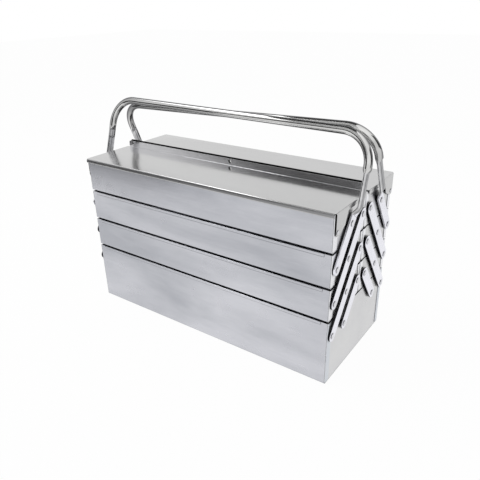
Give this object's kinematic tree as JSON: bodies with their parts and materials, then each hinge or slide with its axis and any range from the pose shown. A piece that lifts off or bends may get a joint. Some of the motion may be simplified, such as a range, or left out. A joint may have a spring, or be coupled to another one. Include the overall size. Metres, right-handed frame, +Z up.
{
  "type": "cantilever tool box",
  "caption": "Steel cantilever tool box: stacked trays on parallel links swing out from a deep base, under hinged lids, with tube handles.",
  "frame": {"origin": "middle of the underside, on the surface that the closed box stands on", "axes": "+X along the length, +Y to the rear, +Z up"},
  "size_m": [0.5683, 0.23, 0.4102],
  "materials": {
    "pan_sheet": "satin zinc-plated sheet",
    "lid_sheet": "fine brushed sheet",
    "link_bars": "bright zinc plate",
    "handle_tube": "polished",
    "rivets": "bright zinc plate"
  },
  "bodies": {
    "base": {"base_pan": "pan_sheet", "base_end_right": "pan_sheet", "base_end_left": "pan_sheet", "base_rivets": "rivets", "base_spacers": "rivets"},
    "front_short_links": {"front_short_link_right": "link_bars", "front_short_link_left": "link_bars"},
    "front_long_links": {"front_long_link_right": "link_bars", "front_long_link_left": "link_bars"},
    "front_upper_links": {"front_upper_link_right": "link_bars", "front_upper_link_left": "link_bars"},
    "front_lower_tray": {"front_lower_tray_pan": "pan_sheet", "front_lower_tray_end_right": "pan_sheet", "front_lower_tray_end_left": "pan_sheet", "front_lower_tray_rivets": "rivets", "front_lower_tray_spacers": "rivets"},
    "front_middle_tray": {"front_middle_tray_pan": "pan_sheet", "front_middle_tray_end_right": "pan_sheet", "front_middle_tray_end_left": "pan_sheet", "front_middle_tray_rivets": "rivets", "front_middle_tray_spacers": "rivets"},
    "front_top_tray": {"front_top_tray_pan": "pan_sheet", "front_top_tray_end_right": "pan_sheet", "front_top_tray_end_left": "pan_sheet", "front_top_tray_rivets": "rivets", "front_top_tray_spacers": "rivets", "front_lid_hinge_rivets": "rivets"},
    "front_lid": {"front_lid": "lid_sheet"},
    "front_handle": {"front_handle": "handle_tube"},
    "rear_short_links": {"rear_short_link_right": "link_bars", "rear_short_link_left": "link_bars"},
    "rear_long_links": {"rear_long_link_right": "link_bars", "rear_long_link_left": "link_bars"},
    "rear_upper_links": {"rear_upper_link_right": "link_bars", "rear_upper_link_left": "link_bars"},
    "rear_lower_tray": {"rear_lower_tray_pan": "pan_sheet", "rear_lower_tray_end_right": "pan_sheet", "rear_lower_tray_end_left": "pan_sheet", "rear_lower_tray_rivets": "rivets", "rear_lower_tray_spacers": "rivets"},
    "rear_middle_tray": {"rear_middle_tray_pan": "pan_sheet", "rear_middle_tray_end_right": "pan_sheet", "rear_middle_tray_end_left": "pan_sheet", "rear_middle_tray_rivets": "rivets", "rear_middle_tray_spacers": "rivets"},
    "rear_top_tray": {"rear_top_tray_pan": "pan_sheet", "rear_top_tray_end_right": "pan_sheet", "rear_top_tray_end_left": "pan_sheet", "rear_top_tray_rivets": "rivets", "rear_top_tray_spacers": "rivets", "rear_lid_hinge_rivets": "rivets"},
    "rear_lid": {"rear_lid": "lid_sheet"},
    "rear_handle": {"rear_handle": "handle_tube"}
  },
  "joints": [
    {"name": "front_open", "type": "hinge", "parent": "base", "child": "front_short_links", "pos_m": [0, -0.0585, 0.093], "axis": [1, 0, 0], "range_deg": [0, 71]},
    {"name": "front_lower_tray_pivot", "type": "hinge", "parent": "front_short_links", "child": "front_lower_tray", "pos_m": [0, -0.015, 0.153], "axis": [1, 0, 0], "range_deg": [-71, 0]},
    {"name": "front_upper_link_pivot", "type": "hinge", "parent": "front_lower_tray", "child": "front_upper_links", "pos_m": [0, -0.102, 0.153], "axis": [1, 0, 0], "range_deg": [0, 71]},
    {"name": "front_top_tray_pivot", "type": "hinge", "parent": "front_upper_links", "child": "front_top_tray", "pos_m": [0, -0.015, 0.273], "axis": [1, 0, 0], "range_deg": [-71, 0]},
    {"name": "front_long_link_pivot", "type": "hinge", "parent": "base", "child": "front_long_links", "pos_m": [0, -0.102, 0.093], "axis": [1, 0, 0], "range_deg": [0, 71]},
    {"name": "front_middle_tray_pivot", "type": "hinge", "parent": "front_long_links", "child": "front_middle_tray", "pos_m": [0, -0.015, 0.213], "axis": [1, 0, 0], "range_deg": [-71, 0]},
    {"name": "front_handle_pivot", "type": "hinge", "parent": "front_middle_tray", "child": "front_handle", "pos_m": [0, -0.102, 0.213], "axis": [1, 0, 0], "range_deg": [0, 71]},
    {"name": "front_lid_hinge", "type": "hinge", "parent": "front_top_tray", "child": "front_lid", "pos_m": [0, -0.1046, 0.275], "axis": [1, 0, 0], "range_deg": [0, 68]},
    {"name": "rear_open", "type": "hinge", "parent": "base", "child": "rear_short_links", "pos_m": [0, 0.0585, 0.093], "axis": [-1, 0, 0], "range_deg": [0, 71]},
    {"name": "rear_lower_tray_pivot", "type": "hinge", "parent": "rear_short_links", "child": "rear_lower_tray", "pos_m": [0, 0.015, 0.153], "axis": [-1, 0, 0], "range_deg": [-71, 0]},
    {"name": "rear_upper_link_pivot", "type": "hinge", "parent": "rear_lower_tray", "child": "rear_upper_links", "pos_m": [0, 0.102, 0.153], "axis": [-1, 0, 0], "range_deg": [0, 71]},
    {"name": "rear_top_tray_pivot", "type": "hinge", "parent": "rear_upper_links", "child": "rear_top_tray", "pos_m": [0, 0.015, 0.273], "axis": [-1, 0, 0], "range_deg": [-71, 0]},
    {"name": "rear_long_link_pivot", "type": "hinge", "parent": "base", "child": "rear_long_links", "pos_m": [0, 0.102, 0.093], "axis": [-1, 0, 0], "range_deg": [0, 71]},
    {"name": "rear_middle_tray_pivot", "type": "hinge", "parent": "rear_long_links", "child": "rear_middle_tray", "pos_m": [0, 0.015, 0.213], "axis": [-1, 0, 0], "range_deg": [-71, 0]},
    {"name": "rear_handle_pivot", "type": "hinge", "parent": "rear_middle_tray", "child": "rear_handle", "pos_m": [0, 0.102, 0.213], "axis": [-1, 0, 0], "range_deg": [0, 71]},
    {"name": "rear_lid_hinge", "type": "hinge", "parent": "rear_top_tray", "child": "rear_lid", "pos_m": [0, 0.1046, 0.275], "axis": [-1, 0, 0], "range_deg": [0, 68]}
  ],
  "couplings": [
    {"joint": "front_lower_tray_pivot", "follows": "front_open", "ratio": -1},
    {"joint": "front_upper_link_pivot", "follows": "front_open", "ratio": 1},
    {"joint": "front_top_tray_pivot", "follows": "front_open", "ratio": -1},
    {"joint": "front_long_link_pivot", "follows": "front_open", "ratio": 1},
    {"joint": "front_middle_tray_pivot", "follows": "front_open", "ratio": -1},
    {"joint": "front_handle_pivot", "follows": "front_open", "ratio": 1},
    {"joint": "rear_lower_tray_pivot", "follows": "rear_open", "ratio": -1},
    {"joint": "rear_upper_link_pivot", "follows": "rear_open", "ratio": 1},
    {"joint": "rear_top_tray_pivot", "follows": "rear_open", "ratio": -1},
    {"joint": "rear_long_link_pivot", "follows": "rear_open", "ratio": 1},
    {"joint": "rear_middle_tray_pivot", "follows": "rear_open", "ratio": -1},
    {"joint": "rear_handle_pivot", "follows": "rear_open", "ratio": 1}
  ]
}
